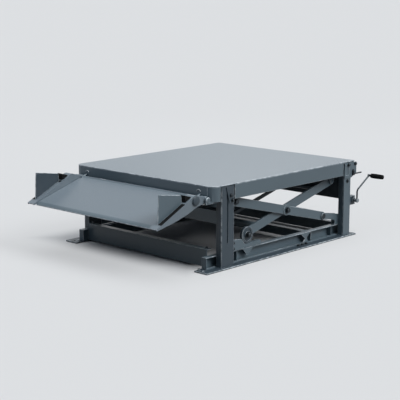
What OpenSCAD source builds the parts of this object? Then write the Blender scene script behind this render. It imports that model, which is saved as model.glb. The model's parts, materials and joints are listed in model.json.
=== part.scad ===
// Dock leveler: a steel deck on scissor arms, with a hinged lip and a hand crank.
// X runs across the deck, +Y towards its rear, +Z up. The origin lies on the floor,
// in the middle of the four anchor holes of the sole plates. Sizes are millimetres.

/* [Deck] */
// Width of the deck plate
deck_w = 1800; // [1500:10:2200]
// Length of the deck plate, front edge to rear edge
deck_l = 2040; // [1800:10:2600]
// Height of the deck's top face above the floor, lowered
deck_h = 745; // [720:5:900]
// Thickness of the deck plate
deck_plate_t = 8; // [6:1:12]
// Depth of the side skirts, from the deck's top face
side_skirt_h = 137; // [115:1:145]
// Depth of the front skirt, from the deck's top face
front_skirt_h = 98; // [90:1:105]
// Thickness of the skirt sheets
skirt_t = 8; // [5:1:10]
// Radius of the two front corners of the deck
corner_r = 75; // [60:1:90]
// Depth of the two stringers that carry the deck plate
stringer_h = 130; // [115:1:145]
// Thickness of the stringers' web and flanges
stringer_t = 8; // [5:1:12]
// Number of cross ribs under the deck plate
rib_count = 6; // [3:1:10]
// Depth of a cross rib
rib_h = 100; // [60:5:110]
// Thickness of a cross rib
rib_t = 8; // [5:1:12]

/* [Base] */
// Width of a sole plate
sole_w = 155; // [145:1:200]
// Thickness of a sole plate
sole_t = 15; // [10:1:20]
// How far the sole plates run ahead of the deck's front edge
sole_front_reach = 115; // [100:1:160]
// How far the sole plates run behind the deck's rear edge
sole_rear_reach = 15; // [0:1:40]
// How far the sole plates stand out beside the deck
sole_side_reach = 30; // [20:1:45]
// Radius of an anchor hole
anchor_r = 11; // [7:0.5:14]
// Distance of an anchor hole from the end of its sole plate
anchor_end = 45; // [35:1:50]
// Height of a base rail
rail_h = 105; // [90:1:130]
// Width of a base rail
rail_w = 57; // [54:1:65]
// Thickness of the rails' web and flanges
rail_t = 9; // [6:1:12]
// How far the rails run ahead of the deck's front edge
rail_front_reach = 23; // [10:1:40]
// Thickness of the rails' end plates and web stiffeners
rail_plate_t = 8; // [5:1:12]
// Distance of the rails' web stiffeners from the posts
rail_stiffener_y = 110; // [80:5:150]
// Distance of the rails' waisted gussets from the rear posts
gusset_y = 505; // [450:5:600]
// Length of a waisted gusset along its rail
gusset_l = 175; // [120:5:200]
// Width of a gusset's waist
gusset_waist = 22; // [15:1:30]
// Height of the front cross beam
front_beam_h = 160; // [120:5:190]
// Depth of a cross beam, front to rear
beam_l = 60; // [45:1:75]
// Thickness of the cross beams' web and flanges
beam_t = 8; // [5:1:12]
// Setback of the front cross beam from the deck's front edge
front_beam_y = 45; // [30:1:60]
// Height of the middle cross beam
low_beam_h = 80; // [60:1:90]
// Distance of the middle cross beam's rear face from the rear posts
mid_beam_y = 430; // [200:10:500]

/* [Posts] */
// Width of a post, across the deck
post_w = 57; // [50:1:70]
// Length of a front post, front to rear
front_post_l = 160; // [130:1:180]
// Length of a rear post, front to rear
rear_post_l = 105; // [90:1:130]
// Setback of the front posts from the deck's front edge
front_post_y = 102; // [96:1:120]
// Setback of the rear posts from the deck's rear edge
rear_post_y = 60; // [56:1:90]
// Wall of a post and of the portal beam
post_wall = 6; // [4:0.5:8]
// Thickness of the guide plate on a post's outer face
cover_t = 8; // [6:1:12]
// Width of the slot in a front guide plate
slot_w = 22; // [16:1:28]
// Height of the slot's lower end above the floor
slot_z = 225; // [180:5:300]
// Thickness of the bolted plates near the post tops
head_plate_t = 6; // [4:1:7]
// Depth of the bolted plates near the post tops
head_plate_h = 150; // [120:5:165]
// How far the rear head plates run past the rear posts
head_tail = 85; // [60:1:95]
// Height and depth of the portal beam between the front posts
portal_beam = 115; // [80:5:120]
// Height of the portal beam's lower face above the floor
portal_z = 395; // [380:5:410]
// Gap between the deck's ribs and the rear portal beam
rear_portal_gap = 52; // [20:1:80]
// Depth of the rear portal beam
rear_portal_h = 220; // [160:5:224]

/* [Scissor arms] */
// Length of an arm's lower half, from its lower end to the centre pin
lower_half = 575; // [520:5:620]
// Length of an arm's upper half, from the centre pin to its upper end
upper_half = 740; // [690:5:770]
// Depth of an arm
arm_d = 82; // [60:1:84]
// Thickness of an arm
arm_t = 20; // [14:1:22]
// Gap between the outer and the inner arm of one side
arm_gap = 10; // [8:1:14]
// Gap between an outer arm and the posts
arm_post_gap = 9; // [7:1:14]
// Radius of the arms' pivot pins
pin_r = 18; // [14:0.5:22]
// Radius of the wheel and roller axles
axle_r = 15; // [12:0.5:18]
// Radial running clearance of pins and axles
run_fit = 0.05; // [0.02:0.01:0.1]
// Side play of wheels, rollers and brackets on the arms
side_play = 5; // [4:0.5:7]
// Radius of a lower wheel
wheel_r = 75; // [60:1:85]
// Width of a lower wheel
wheel_w = 30; // [22:1:31]
// Radius of an upper roller
roller_r = 48; // [47:1:55]
// Width of an upper roller
roller_w = 24; // [18:1:26]
// Height of the wheel tracks on the rails
track_h = 40; // [25:1:50]
// Distance of the lower arm pins from the rear posts
pin_setback = 235; // [205:1:260]
// Thickness of the arm brackets' ears
ear_t = 8; // [6:1:10]
// Radius of the cross tubes between the arms
tie_r = 30; // [20:1:34]
// Wall of the cross tubes
tie_wall = 5; // [3:0.5:8]
// Distance of a cross tube from the end of its arms
tie_from_end = 190; // [150:5:300]
// Distance of the inner arms' stays from the middle
stay_x = 375; // [300:5:420]
// Height of a stay
stay_h = 30; // [20:1:40]
// Thickness of a stay
stay_t = 20; // [12:1:30]

/* [Lip] */
// Length of the lip plate from its hinge
lip_l = 590; // [450:5:700]
// Slope of the lip below level, as it stands
lip_slope = 17.7; // [10:0.1:22]
// Thickness of the lip plate
lip_plate_t = 8; // [6:1:12]
// Length of the bent front band of the lip
lip_band = 36; // [20:1:50]
// Drop of the bent front band
lip_band_drop = 15; // [5:1:20]
// Radius of the hinge knuckles
knuckle_r = 24; // [22:0.5:26]
// Radius of the hinge pin
hinge_pin_r = 15; // [12:0.5:17]
// Setback of the hinge line ahead of the deck's front edge
hinge_y = 38; // [36:1:44]
// Height of the hinge line below the deck's top face
hinge_drop = 113; // [110:1:118]
// Width of a lip arm
lip_arm_w = 90; // [76:1:96]
// Distance of a lip arm's middle from the deck's edge
lip_arm_inset = 100; // [98:1:160]
// How far the lip arms run past the lip plate
lip_arm_reach = 22; // [10:1:50]
// Sheet thickness of the lip arms and cheeks
lip_sheet_t = 8; // [6:1:10]
// Gap between the lip plate and its arms
lip_gap = 5; // [2:0.5:6]
// Height of a cheek's front tip above the hinge line, square to the lip
cheek_h = 264; // [200:2:300]
// Width of a hinge lug
lug_w = 20; // [14:1:24]

/* [Crank] */
// Height of the crank shaft above the floor
crank_z = 345; // [335:5:420]
// Radius at which the grip turns
crank_r = 300; // [240:5:305]
// Radius of the crank shaft
crank_shaft_r = 12; // [9:0.5:15]
// Radius of the crank rod
crank_rod_r = 8; // [6:0.5:10]
// Length of the grip
grip_l = 145; // [110:1:170]
// Radius of the grip
grip_r = 24; // [18:0.5:26]

/* [Hidden] */
$fn = 64;

// Gaps between pieces that move past each other, and between those that rest on each other
post_gap = 8;
skirt_gap = 12;
seat_gap = 0.3;
// Overrun of cutting bodies
cut = 1;

// Lengths along Y
sole_l = deck_l + sole_front_reach + sole_rear_reach;
deck_front = sole_front_reach - sole_l / 2;
deck_rear = deck_front + deck_l;
front_post_front = deck_front + front_post_y;
front_post_rear = front_post_front + front_post_l;
rear_post_rear = deck_rear - rear_post_y;
rear_post_front = rear_post_rear - rear_post_l;
rail_front = deck_front - rail_front_reach;
rail_rear = rear_post_rear + rail_plate_t;
hinge_line_y = deck_front - hinge_y;

// Widths along X
edge_x = deck_w / 2;
post_out = edge_x - cover_t;
post_in = post_out - post_w;
rail_out = post_in;
rail_in = rail_out - rail_w;
sole_out = edge_x + sole_side_reach;
sole_in = sole_out - sole_w;
anchor_x = (sole_in + sole_out) / 2;
anchor_y = sole_l / 2 - anchor_end;
outer_arm_out = post_in - arm_post_gap;
outer_arm_in = outer_arm_out - arm_t;
inner_arm_out = outer_arm_in - arm_gap;
inner_arm_in = inner_arm_out - arm_t;
wheel_in = inner_arm_out + side_play;
wheel_out = wheel_in + wheel_w;
roller_out = outer_arm_in - side_play;
roller_in = roller_out - roller_w;
stringer_in = inner_arm_in - side_play - ear_t;
stringer_out = inner_arm_out + side_play + ear_t;

// Heights along Z
plate_under = deck_h - deck_plate_t;
post_top = plate_under - seat_gap;
guide_top = post_top - post_gap;
rail_top = sole_t + rail_h;
track_top = rail_top + track_h;
low_z = track_top + seat_gap + wheel_r;
stringer_under = plate_under - stringer_h;
high_z = stringer_under - seat_gap - roller_r;
side_skirt_under = deck_h - side_skirt_h;
front_skirt_under = deck_h - front_skirt_h;
hinge_line_z = deck_h - hinge_drop;
rear_portal_z = plate_under - rib_h - rear_portal_gap - rear_portal_h;

// The bolted plates on the post tops and the hand levers
head_under = guide_top - head_plate_h;
head_out = edge_x + head_plate_t;
lever_r = 7;
lever_boss_r = 15;
lever_l = 130;
lever_y = rear_post_rear + head_tail * 0.35;
lever_z = head_under + head_plate_h * 0.24;
head_margin = 20;
head_rear = rear_post_rear + head_tail;

// The scissor: two equal arms that cross, with the lower ends nearer the centre pin than the upper ends
arm_l = lower_half + upper_half;
arm_angle = asin((high_z - low_z) / arm_l);
low_pin_y = rear_post_front - pin_setback;
centre_y = low_pin_y - lower_half * cos(arm_angle);
wheel_y = centre_y - lower_half * cos(arm_angle);
high_pin_y = centre_y + upper_half * cos(arm_angle);
boss_r = arm_d / 2 + 9;
boss_t = 6;
collar_t = 5;
collar_r = axle_r + 8;
pin_head_t = 5;
pin_head_r = pin_r + 6;
eye_wall = 14;
bracket_r = pin_r + eye_wall;
bracket_foot_t = 10;
bracket_flare = 12;
bracket_leg = 55;

// The lip, seen from the side: distance u from the hinge line, height v square to the lip
lip_arm_mid = edge_x - lip_arm_inset;
lip_arm_in = lip_arm_mid - lip_arm_w / 2;
lip_arm_out = lip_arm_mid + lip_arm_w / 2;
lip_plate_half = lip_arm_in - lip_gap;
lip_arm_tip = lip_l + lip_arm_reach;
arm_root_r = knuckle_r + 6;
lip_top = knuckle_r - 4;
lip_under = lip_top - lip_plate_t;
strap_r = 46;
strap_end = [lip_l * 0.2, strap_r + 4];
strap_h = strap_end.y + strap_r * 0.93;
strap_tip_h = 22;
function arm_top(u) =
  strap_tip_h + (strap_h - strap_tip_h) * (lip_arm_tip - u) / (lip_arm_tip - strap_end.x);
lug_r = hinge_pin_r + 11;
lug_gap = 2;
side_lug_x = lip_arm_in - lip_gap - lug_w / 2;
lug_places = [-side_lug_x, side_lug_x];
hinge_ear_in = lip_arm_out + post_gap;
hinge_ear_out = hinge_ear_in + lug_w;

// The crank
gearbox_l = 95;
gearbox_h = 90;
gearbox_in = post_in + 10;
gearbox_out = post_out;
gearbox_boss_t = 12;
crank_y = rear_post_rear + gearbox_l * 0.68;
crank_in = head_out + 19;
crank_boss_w = 24;
crank_boss_wall = 8;
crank_rod_x = crank_in + crank_boss_w / 2;
crank_lean = 41;
crank_pin = [crank_r * sin(crank_lean), crank_r * cos(crank_lean)];
crank_bend = 58;
crank_bend_r = 40;
crank_run = (crank_pin.x - crank_bend_r * (1 - cos(crank_bend))) / sin(crank_bend);
crank_rise = crank_pin.y - crank_bend_r * sin(crank_bend) - crank_run * cos(crank_bend);

// Painted steel in three shades, bare steel and black rubber
slate = "#4d5a64";
pale_slate = "#6f7c86";
dark_slate = "#333d46";
bare_steel = "#9aa3a8";
black_rubber = "#17191b";

// A block between two corners
module block(low, high) {
  translate(low) cube(high - low);
}

// A profile drawn in Y and Z, extruded from x0 to x1
module along_x(x0, x1) {
  translate([x0, 0, 0]) rotate([90, 0, 90]) linear_extrude(x1 - x0) children();
}

// A round bar along X from x0 to x1
module rod_x(x0, x1, r) {
  translate([x0, 0, 0]) rotate([0, 90, 0]) cylinder(h = x1 - x0, r = r);
}

module on_left() {
  mirror([1, 0, 0]) children();
}

module on_both_sides() {
  children();
  on_left() children();
}

module at(y, z) {
  translate([0, y, z]) children();
}

// A rectangular tube with an open bottom and a closed top
module post(front, rear) {
  difference() {
    block([post_in, front, sole_t], [post_out, rear, post_top]);
    block([post_in + post_wall, front + post_wall, sole_t - cut],
          [post_out - post_wall, rear - post_wall, post_top - post_wall]);
  }
}

module sole_plate() {
  difference() {
    block([sole_in, -sole_l / 2, 0], [sole_out, sole_l / 2, sole_t]);
    for (y = [-anchor_y, anchor_y])
      translate([anchor_x, y, -cut]) cylinder(h = sole_t + 2 * cut, r = anchor_r);
  }
}

module right_sole_plate() {
  color(slate) sole_plate();
}

module left_sole_plate() {
  color(slate) on_left() sole_plate();
}

// A channel that opens outwards, with web stiffeners and a plate across each end
module base_rail() {
  stiffener_places = [
    front_post_rear + rail_stiffener_y,
    rear_post_front - mid_beam_y - beam_l,
    rear_post_front - mid_beam_y,
    rear_post_front - rail_stiffener_y
  ];
  block([rail_in, rail_front, sole_t], [rail_in + rail_t, rail_rear, rail_top]);
  for (z = [sole_t, rail_top - rail_t])
    block([rail_in, rail_front, z], [rail_out, rail_rear, z + rail_t]);
  for (y = concat([rail_front, rail_rear - rail_plate_t], stiffener_places))
    block([rail_in, y, sole_t], [rail_out, y + rail_plate_t, rail_top]);
  translate([0, rear_post_front - gusset_y, 0]) rail_gusset();
  translate([0, wheel_y, 0]) rail_bracket();
}

// A waisted plate between the rail's flanges, on a rib of its own
module rail_gusset() {
  waist_z = sole_t + rail_h * 0.42;
  block([rail_in, -rail_plate_t / 2, sole_t], [rail_out, rail_plate_t / 2, rail_top]);
  along_x(rail_out - rail_plate_t, rail_out) polygon([
    [-gusset_l * 0.5, rail_top], [-gusset_waist / 2, waist_z], [-gusset_l * 0.3, sole_t],
    [gusset_l * 0.3, sole_t], [gusset_waist / 2, waist_z], [gusset_l * 0.5, rail_top]
  ]);
}

// A short plate below the rail's upper flange, on a rib of its own
module rail_bracket() {
  under = sole_t + rail_h * 0.36;
  block([rail_in, -rail_plate_t / 2, under], [rail_out, rail_plate_t / 2, rail_top]);
  along_x(rail_out - rail_plate_t, rail_out) polygon([
    [-gusset_l * 0.42, rail_top], [-gusset_waist * 0.6, under], [gusset_waist * 0.6, under],
    [gusset_l * 0.42, rail_top]
  ]);
}

module right_base_rail() {
  color(slate) base_rail();
}

module left_base_rail() {
  color(slate) on_left() base_rail();
}

// A channel across the base, with the given half length, that opens to the rear
module cross_beam(half, front, under, height) {
  top = under + height;
  block([-half, front, under], [half, front + beam_t, top]);
  for (z = [under, top - beam_t])
    block([-half, front, z], [half, front + beam_l, z + beam_t]);
}

module front_cross_beam() {
  color(dark_slate) cross_beam(rail_in, deck_front + front_beam_y, sole_t, front_beam_h);
}

module middle_cross_beam() {
  color(slate) cross_beam(rail_in, rear_post_front - mid_beam_y - beam_l, rail_top - low_beam_h, low_beam_h);
}

module rear_cross_beam() {
  color(slate) cross_beam(rail_in, rear_post_rear - beam_l, sole_t, rail_h);
}

module right_front_post() {
  color(slate) post(front_post_front, front_post_rear);
}

module left_front_post() {
  color(slate) on_left() post(front_post_front, front_post_rear);
}

module right_rear_post() {
  color(slate) post(rear_post_front, rear_post_rear);
}

module left_rear_post() {
  color(slate) on_left() post(rear_post_front, rear_post_rear);
}

// A square tube that ties the two front posts together
module front_portal_beam() {
  front = (front_post_front + front_post_rear - portal_beam) / 2;
  color(dark_slate) difference() {
    block([-post_in, front, portal_z], [post_in, front + portal_beam, portal_z + portal_beam]);
    block([-post_in - cut, front + post_wall, portal_z + post_wall],
          [post_in + cut, front + portal_beam - post_wall, portal_z + portal_beam - post_wall]);
  }
}

// A deep channel that ties the two rear posts together, behind the scissor
module rear_portal_beam() {
  color(dark_slate) cross_beam(post_in, rear_post_rear - beam_l, rear_portal_z, rear_portal_h);
}

// A plate on the post's outer face with a long slot, and a bolted head plate on it
module front_guide_plate() {
  slot_y = front_post_front + front_post_l * 0.46;
  along_x(post_out, edge_x) difference() {
    translate([front_post_front, sole_t]) square([front_post_l, guide_top - sole_t]);
    translate([slot_y, slot_z + slot_w / 2]) circle(slot_w / 2);
    translate([slot_y - slot_w / 2, slot_z + slot_w / 2])
      square([slot_w, guide_top - head_plate_h / 2 - slot_z]);
  }
  along_x(edge_x, head_out) polygon([
    [front_post_front + front_post_l * 0.33, guide_top], [front_post_rear - head_margin, guide_top],
    [front_post_rear - head_margin, head_under], [slot_y + slot_w, head_under]
  ]);
}

module front_guide_plates() {
  color(slate) on_both_sides() front_guide_plate();
}

// A plate on the rear post with a windowed head plate
module rear_latch_plate() {
  window_l = rear_post_l * 0.45;
  window_h = head_plate_h * 0.66;
  window_y = rear_post_front + head_margin;
  block([post_out, rear_post_front, sole_t], [edge_x, rear_post_rear, guide_top]);
  along_x(edge_x, head_out) difference() {
    polygon([
      [rear_post_front, guide_top], [head_rear, guide_top], [head_rear, head_under + head_plate_h * 0.25],
      [rear_post_rear, head_under], [rear_post_front, head_under]
    ]);
    translate([window_y, guide_top - window_h - head_margin]) square([window_l, window_h]);
  }
}

module rear_latch_plates() {
  color(slate) on_both_sides() rear_latch_plate();
}

// A fixed hand lever on each rear head plate, pointing to the rear
module latch_levers() {
  boss_w = 15;
  color(dark_slate) on_both_sides() at(lever_y, lever_z) {
    rod_x(head_out, head_out + boss_w, lever_boss_r);
    translate([head_out + boss_w / 2, 0, 0]) rotate([-90, 0, 0]) cylinder(h = lever_l, r = lever_r);
  }
}

// A flat bar on the rail for the wheel, with a stop held by a plate on the front post
module wheel_track() {
  track_lip = 6;
  track_out = wheel_out + track_lip;
  track_run = 2.4 * wheel_r;
  stop_t = 12;
  stop_gap = 20;
  stop_rear = wheel_y - wheel_r - stop_gap;
  stop_y = stop_rear - stop_t;
  stop_top = low_z - wheel_r * 0.3;
  plate_out = track_out + ear_t;
  block([wheel_in - track_lip, stop_y, rail_top], [track_out, wheel_y + track_run, track_top]);
  block([wheel_in - track_lip, stop_y, rail_top], [track_out, stop_rear, stop_top]);
  along_x(track_out, plate_out) polygon([
    [front_post_rear, rail_top], [stop_rear + stop_gap, rail_top], [stop_rear + track_h, track_top],
    [stop_rear, stop_top], [front_post_rear, stop_top + stop_gap]
  ]);
}

module wheel_tracks() {
  color(slate) on_both_sides() wheel_track();
}

// Two ears that hold the lower end of an outer arm and run back to a leg on the rail before the rear post
module arm_base_bracket() {
  ear_in = outer_arm_in - side_play - ear_t;
  ear_out = outer_arm_out + side_play;
  leg_front = rear_post_front - bracket_leg;
  foot_top = rail_top + bracket_foot_t;
  block([ear_in, leg_front, rail_top], [ear_out + ear_t, rear_post_front, foot_top]);
  for (x = [ear_in, ear_out])
    along_x(x, x + ear_t) difference() {
      union() {
        translate([low_pin_y, low_z]) circle(bracket_r);
        polygon([
          [low_pin_y, low_z + bracket_r * 0.85], [rear_post_front, low_z - bracket_r * 0.35],
          [rear_post_front, rail_top], [leg_front, rail_top],
          [leg_front, low_z - bracket_r * 2], [low_pin_y, low_z - bracket_r * 0.85]
        ]);
      }
      translate([low_pin_y, low_z]) circle(pin_r + run_fit);
    }
}

module arm_base_brackets() {
  color(slate) on_both_sides() arm_base_bracket();
}

// A pin through two ears, with a head at each end
module headed_pin(x0, x1) {
  rod_x(x0 - pin_head_t, x1 + pin_head_t, pin_r);
  rod_x(x0 - pin_head_t, x0, pin_head_r);
  rod_x(x1, x1 + pin_head_t, pin_head_r);
}

module lower_arm_pins() {
  color(bare_steel) on_both_sides() at(low_pin_y, low_z)
    headed_pin(outer_arm_in - side_play - ear_t, outer_arm_out + side_play + ear_t);
}

// The box on the right rear post that the crank shaft enters
module crank_gearbox() {
  color(dark_slate) difference() {
    union() {
      block([gearbox_in, rear_post_rear, crank_z - gearbox_h / 2],
            [gearbox_out, rear_post_rear + gearbox_l, crank_z + gearbox_h / 2]);
      at(crank_y, crank_z) rod_x(gearbox_out, gearbox_out + gearbox_boss_t, crank_shaft_r + eye_wall);
    }
    at(crank_y, crank_z) rod_x(gearbox_in + post_wall, edge_x + gearbox_boss_t, crank_shaft_r + run_fit);
  }
}

module deck_plate() {
  corner_x = edge_x - corner_r;
  color(pale_slate) translate([0, 0, plate_under]) linear_extrude(deck_plate_t) {
    translate([-edge_x, deck_front + corner_r]) square([deck_w, deck_l - corner_r]);
    translate([-corner_x, deck_front]) square([2 * corner_x, corner_r]);
    for (x = [-corner_x, corner_x])
      translate([x, deck_front + corner_r]) circle(corner_r);
  }
}

// The sheet below the deck's front edge, with the lugs that hold the hinge pin
module front_skirt() {
  corner_x = edge_x - corner_r;
  color(slate) difference() {
    union() {
      block([-corner_x, deck_front, front_skirt_under], [corner_x, deck_front + skirt_t, plate_under]);
      for (x = lug_places)
        along_x(x - lug_w / 2, x + lug_w / 2) {
          translate([hinge_line_y, hinge_line_z]) circle(lug_r);
          polygon([
            [hinge_line_y, hinge_line_z + lug_r], [hinge_line_y, hinge_line_z - lug_r],
            [deck_front, front_skirt_under], [deck_front, front_skirt_under + lug_r]
          ]);
        }
    }
    at(hinge_line_y, hinge_line_z) rod_x(-edge_x, edge_x, hinge_pin_r + run_fit);
  }
}

// The side sheet, open at the posts and rounded into the front, with the hinge pin's end ear
module side_skirt() {
  depth = plate_under - side_skirt_under;
  corner = [edge_x - corner_r, deck_front + corner_r, side_skirt_under];
  stretches = [
    [corner.y, front_post_front - skirt_gap, edge_x],
    [front_post_rear + skirt_gap, rear_post_front - skirt_gap, edge_x],
    [rear_post_rear + skirt_gap, deck_rear, post_out]
  ];
  foot_t = 14;
  foot_bite = 4;
  foot_under = side_skirt_under - foot_t;
  translate(corner) rotate([0, 0, -90]) rotate_extrude(angle = 90)
    translate([corner_r - skirt_t, 0]) square([skirt_t, depth]);
  for (s = stretches)
    block([s[2] - skirt_t, s[0], side_skirt_under], [s[2], s[1], plate_under]);
  difference() {
    union() {
      block([hinge_ear_in, hinge_line_y - lug_r, foot_under],
            [hinge_ear_out, corner.y, side_skirt_under + foot_bite]);
      along_x(hinge_ear_in, hinge_ear_out) translate([hinge_line_y, hinge_line_z]) {
        circle(lug_r);
        translate([-lug_r, foot_under - hinge_line_z]) square([2 * lug_r, hinge_line_z - foot_under]);
      }
    }
    at(hinge_line_y, hinge_line_z) rod_x(hinge_ear_in - cut, hinge_ear_out + cut, hinge_pin_r + run_fit);
  }
}

module right_side_skirt() {
  color(slate) side_skirt();
}

module left_side_skirt() {
  color(slate) on_left() side_skirt();
}

// The rear sheet, with a round-ended ear at each end
module rear_skirt() {
  half = post_out - skirt_t;
  ear_r = 22;
  ear_mid = plate_under - side_skirt_h * 0.35;
  color(slate) {
    block([-half, deck_rear - skirt_t, side_skirt_under], [half, deck_rear, plate_under]);
    on_both_sides() along_x(half - 2 * skirt_t, half - skirt_t) difference() {
      union() {
        translate([deck_rear, ear_mid - ear_r * 1.6]) square([ear_r * 0.7, ear_r * 3.2]);
        for (z = [ear_mid - ear_r, ear_mid + ear_r])
          translate([deck_rear + ear_r * 0.5, z]) circle(ear_r * 0.8);
      }
      translate([deck_rear - deck_l, side_skirt_under]) square([deck_l, deck_h]);
      for (z = [ear_mid - ear_r, ear_mid + ear_r])
        translate([deck_rear + ear_r * 0.5, z]) circle(ear_r * 0.3);
    }
  }
}

// A channel under the deck plate, whose lower flange is the upper roller's track
module stringer() {
  front = deck_front + post_gap * 5;
  rear = deck_rear - skirt_t;
  block([stringer_in, front, stringer_under], [stringer_in + stringer_t, rear, plate_under]);
  for (z = [stringer_under, plate_under - stringer_t])
    block([stringer_in, front, z], [stringer_out, rear, z + stringer_t]);
}

module right_stringer() {
  color(slate) stringer();
}

module left_stringer() {
  color(slate) on_left() stringer();
}

module deck_cross_ribs() {
  first = deck_front + corner_r;
  step = (deck_l - 2 * corner_r) / (rib_count - 1);
  color(slate) for (i = [0 : rib_count - 1])
    block([-stringer_in, first + i * step, plate_under - rib_h],
          [stringer_in, first + i * step + rib_t, plate_under]);
}

// Two ears below the stringer, which hold the upper end of an inner arm
module arm_deck_bracket() {
  for (x = [stringer_in, stringer_out - ear_t])
    along_x(x, x + ear_t) translate([high_pin_y, high_z]) difference() {
      union() {
        circle(bracket_r);
        polygon([
          [-bracket_r, 0], [0, -bracket_r * 0.9], [bracket_r, 0],
          [bracket_r + bracket_flare, stringer_under - high_z],
          [-bracket_r - bracket_flare, stringer_under - high_z]
        ]);
      }
      circle(pin_r + run_fit);
    }
}

module arm_deck_brackets() {
  color(slate) on_both_sides() arm_deck_bracket();
}

module upper_arm_pins() {
  color(bare_steel) on_both_sides() at(high_pin_y, high_z) headed_pin(stringer_in, stringer_out);
}

module lip_hinge_pin() {
  end = hinge_ear_out + pin_head_t;
  color(bare_steel) at(hinge_line_y, hinge_line_z) {
    rod_x(-end, end, hinge_pin_r);
    for (x = [-end, hinge_ear_out])
      rod_x(x, x + pin_head_t, hinge_pin_r + 6);
  }
}

// Places lip pieces: -Y runs along the lip from the hinge line, +Z square to it
module on_lip() {
  at(hinge_line_y, hinge_line_z) rotate([lip_slope, 0, 0]) children();
}

// The lip's plate with its bent front band, its knuckles and the two bars below it
module lip_plate() {
  band_start = lip_l - lip_band;
  bar_h = 30;
  bar_t = 12;
  bar_places = [lip_l * 0.25, lip_l * 0.68];
  notch_l = lug_r + 12;
  color(pale_slate) on_lip() difference() {
    union() {
      along_x(-lip_plate_half, lip_plate_half) polygon([
        [0, lip_top], [-band_start, lip_top], [-lip_l, lip_top - lip_band_drop],
        [-lip_l, lip_under - lip_band_drop], [-band_start, lip_under], [0, lip_under]
      ]);
      rod_x(-lip_plate_half, lip_plate_half, knuckle_r);
      for (u = bar_places)
        block([-lip_arm_in, -u - bar_t, lip_under - bar_h], [lip_arm_in, -u, lip_under]);
    }
    for (x = lug_places)
      block([x - lug_w / 2 - lug_gap, -notch_l, -knuckle_r - cut],
            [x + lug_w / 2 + lug_gap, knuckle_r + cut, knuckle_r + cut]);
    rod_x(-edge_x, edge_x, hinge_pin_r + run_fit);
  }
}

// A folded strap beside the lip plate: a link from the hinge pin to a round end, then down to a thin tip
module lip_arm() {
  strap_hole_r = 7;
  tip_h = 14;
  belly = -18;
  hollow_from = strap_end.x + strap_r;
  boss_r = 27;
  on_lip() {
    difference() {
      along_x(lip_arm_in, lip_arm_out) {
        circle(arm_root_r);
        translate([-strap_end.x, strap_end.y]) circle(strap_r);
        polygon([
          [0, arm_root_r * 0.87], [-strap_end.x + strap_r * 0.65, strap_end.y + strap_r * 0.65],
          [-strap_end.x, strap_h], [-lip_arm_tip, strap_tip_h], [-lip_arm_tip, strap_tip_h - tip_h],
          [-lip_l * 0.68, belly * 0.8], [-lip_l * 0.4, belly],
          [-strap_end.x + strap_r * 0.2, belly * 0.45], [0, -arm_root_r * 0.87]
        ]);
      }
      along_x(lip_arm_in + lip_sheet_t, lip_arm_out - lip_sheet_t) polygon([
        [-hollow_from, arm_top(hollow_from) - lip_sheet_t],
        [-lip_arm_tip - cut, arm_top(lip_arm_tip + cut) - lip_sheet_t],
        [-lip_arm_tip - cut, belly - cut], [-hollow_from, belly - cut]
      ]);
      rod_x(lip_arm_in - cut, lip_arm_out + cut, hinge_pin_r + run_fit);
      for (u = [lip_l * 0.33, lip_l * 0.41])
        translate([lip_arm_in + lip_arm_w * 0.24, -u, 0]) cylinder(h = 2 * strap_h, r = strap_hole_r);
    }
    at(-strap_end.x, strap_end.y) rod_x(lip_arm_out, lip_arm_out + lip_sheet_t, boss_r);
  }
}

module right_lip_arm() {
  color(pale_slate) lip_arm();
}

module left_lip_arm() {
  color(pale_slate) on_left() lip_arm();
}

// The upright plate on a lip arm, highest at the front
module cheek() {
  front = lip_l * 0.935;
  top_front = lip_l * 0.785;
  top_rear = lip_l * 0.378;
  rear = lip_l * 0.407;
  on_lip() along_x(lip_arm_mid - lip_sheet_t / 2, lip_arm_mid + lip_sheet_t / 2) polygon([
    [-front, arm_top(front)], [-top_front, cheek_h], [-top_rear, cheek_h * 0.555], [-rear, arm_top(rear)]
  ]);
}

module right_cheek() {
  color(pale_slate) cheek();
}

module left_cheek() {
  color(pale_slate) on_left() cheek();
}

// A rubber wedge on each lip arm, behind its cheek
module lip_buffers() {
  front = lip_l * 0.372;
  top_front = lip_l * 0.352;
  rear = strap_end.x + strap_r * 0.6;
  half = lip_arm_w * 0.3;
  rear_h = 8;
  color(black_rubber) on_both_sides() on_lip() along_x(lip_arm_mid - half, lip_arm_mid + half) polygon([
    [-front, arm_top(front)], [-top_front, cheek_h * 0.53],
    [-rear, arm_top(rear) + rear_h], [-rear, arm_top(rear)]
  ]);
}

// The outline of an arm along -Y, from its rear pivot, with a bore at each given place
module arm_outline(bores) {
  difference() {
    union() {
      translate([-arm_l, -arm_d / 2]) square([arm_l, arm_d]);
      circle(arm_d / 2);
      translate([-arm_l, 0]) circle(arm_d / 2);
    }
    for (u = bores)
      translate([-u, 0]) circle(pin_r + run_fit);
  }
}

// An arm from the base's rear bracket up to the front roller, with its two stub pins
module outer_arm() {
  at(low_pin_y, low_z) rotate([-arm_angle, 0, 0]) {
    along_x(outer_arm_in, outer_arm_out) arm_outline([0]);
    translate([0, -lower_half, 0]) {
      rod_x(outer_arm_out, outer_arm_out + boss_t, boss_r);
      rod_x(inner_arm_out + run_fit * 10, outer_arm_in, boss_r);
      rod_x(inner_arm_in - run_fit * 10, outer_arm_in, pin_r);
      rod_x(inner_arm_in - run_fit * 10 - collar_t, inner_arm_in - run_fit * 10, pin_head_r);
    }
    translate([0, -arm_l, 0]) {
      rod_x(roller_in - run_fit * 10, outer_arm_in, axle_r);
      rod_x(roller_out + run_fit * 10, outer_arm_in, collar_r);
      rod_x(roller_in - run_fit * 10 - collar_t, roller_in - run_fit * 10, collar_r);
    }
  }
}

module right_outer_arm() {
  color(slate) outer_arm();
}

module left_outer_arm() {
  color(slate) on_left() outer_arm();
}

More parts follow.
